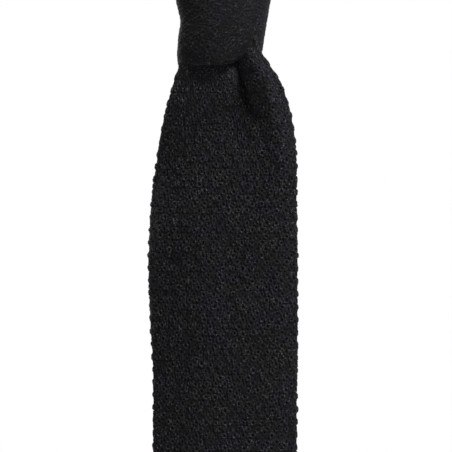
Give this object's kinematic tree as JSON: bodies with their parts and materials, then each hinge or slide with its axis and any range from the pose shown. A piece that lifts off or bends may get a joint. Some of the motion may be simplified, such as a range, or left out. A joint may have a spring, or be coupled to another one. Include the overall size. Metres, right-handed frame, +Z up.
{
  "type": "knitted necktie",
  "caption": "Knitted wool necktie tied in a four-in-hand knot, square-ended, hanging as worn with its neck loop, blade and tail.",
  "frame": {"origin": "centre of the neck opening", "axes": "+Z up along the hanging tie, front of the tie towards -Y, +X to the right as seen from in front"},
  "size_m": [0.131, 0.1533, 0.572],
  "materials": {
    "wool_knit": "open cross-tuck wool knit, soft and matt",
    "lining_tape": "flat woven tape, slight sheen",
    "thread": "twisted sewing thread",
    "label_cloth": "plain blank satin ribbon"
  },
  "bodies": {
    "neck_loop": {"neckband_left": "wool_knit", "neckband_right": "wool_knit", "centre_back_seam": "thread", "neck_stay_tape": "lining_tape", "neck_leg_left": "wool_knit", "neck_leg_right": "wool_knit"},
    "knot": {"knot_cross_pass": "wool_knit", "knot_back_wrap": "wool_knit", "knot_front_wrap": "wool_knit", "blade_riser": "wool_knit", "blade_saddle": "wool_knit", "blade_throat": "wool_knit"},
    "blade_1": {"blade_upper": "wool_knit"},
    "blade_2": {"blade_middle": "wool_knit", "keeper_loop": "lining_tape", "keeper_tack_left": "thread", "keeper_tack_right": "thread"},
    "blade_3": {"blade_lower": "wool_knit"},
    "blade_4": {"blade_end": "wool_knit", "blade_hem": "wool_knit", "blade_hem_stitches": "thread"},
    "tail_1": {"tail_shank": "wool_knit", "tail_upper": "wool_knit"},
    "tail_2": {"tail_middle": "wool_knit"},
    "tail_3": {"tail_end": "wool_knit", "tail_hem": "wool_knit", "tail_hem_stitches": "thread", "label_stitches": "thread"},
    "label": {"care_label": "label_cloth"}
  },
  "joints": [
    {"name": "knot_slide", "type": "slide", "parent": "neck_loop", "child": "knot", "axis": [0, 0, -1], "range_m": [0, 0.03], "deforming": ["neck_leg_left", "neck_leg_right"]},
    {"name": "tail_feed", "type": "slide", "parent": "neck_loop", "child": "tail_1", "axis": [0, 0, 1], "range_m": [0, 0.03]},
    {"name": "blade_swing", "type": "hinge", "parent": "knot", "child": "blade_1", "pos_m": [0, -0.0765, -0.0765], "axis": [-1, 0, 0], "range_deg": [0, 45]},
    {"name": "blade_bend_upper", "type": "hinge", "parent": "blade_1", "child": "blade_2", "pos_m": [0, -0.0765, -0.187], "axis": [-1, 0, 0], "range_deg": [0, 45]},
    {"name": "blade_bend_middle", "type": "hinge", "parent": "blade_2", "child": "blade_3", "pos_m": [0, -0.0765, -0.3], "axis": [-1, 0, 0], "range_deg": [0, 45]},
    {"name": "blade_bend_lower", "type": "hinge", "parent": "blade_3", "child": "blade_4", "pos_m": [0, -0.0765, -0.413], "axis": [-1, 0, 0], "range_deg": [0, 45]},
    {"name": "tail_bend_upper", "type": "hinge", "parent": "tail_1", "child": "tail_2", "pos_m": [0, -0.066, -0.15], "axis": [1, 0, 0], "range_deg": [0, 40]},
    {"name": "tail_bend_lower", "type": "hinge", "parent": "tail_2", "child": "tail_3", "pos_m": [0, -0.066, -0.28], "axis": [1, 0, 0], "range_deg": [0, 40]},
    {"name": "label_flap", "type": "hinge", "parent": "tail_3", "child": "label", "pos_m": [0, -0.06365, -0.3255], "axis": [1, 0, 0], "range_deg": [0, 110]}
  ],
  "couplings": [
    {"joint": "tail_feed", "follows": "knot_slide", "ratio": 1}
  ]
}
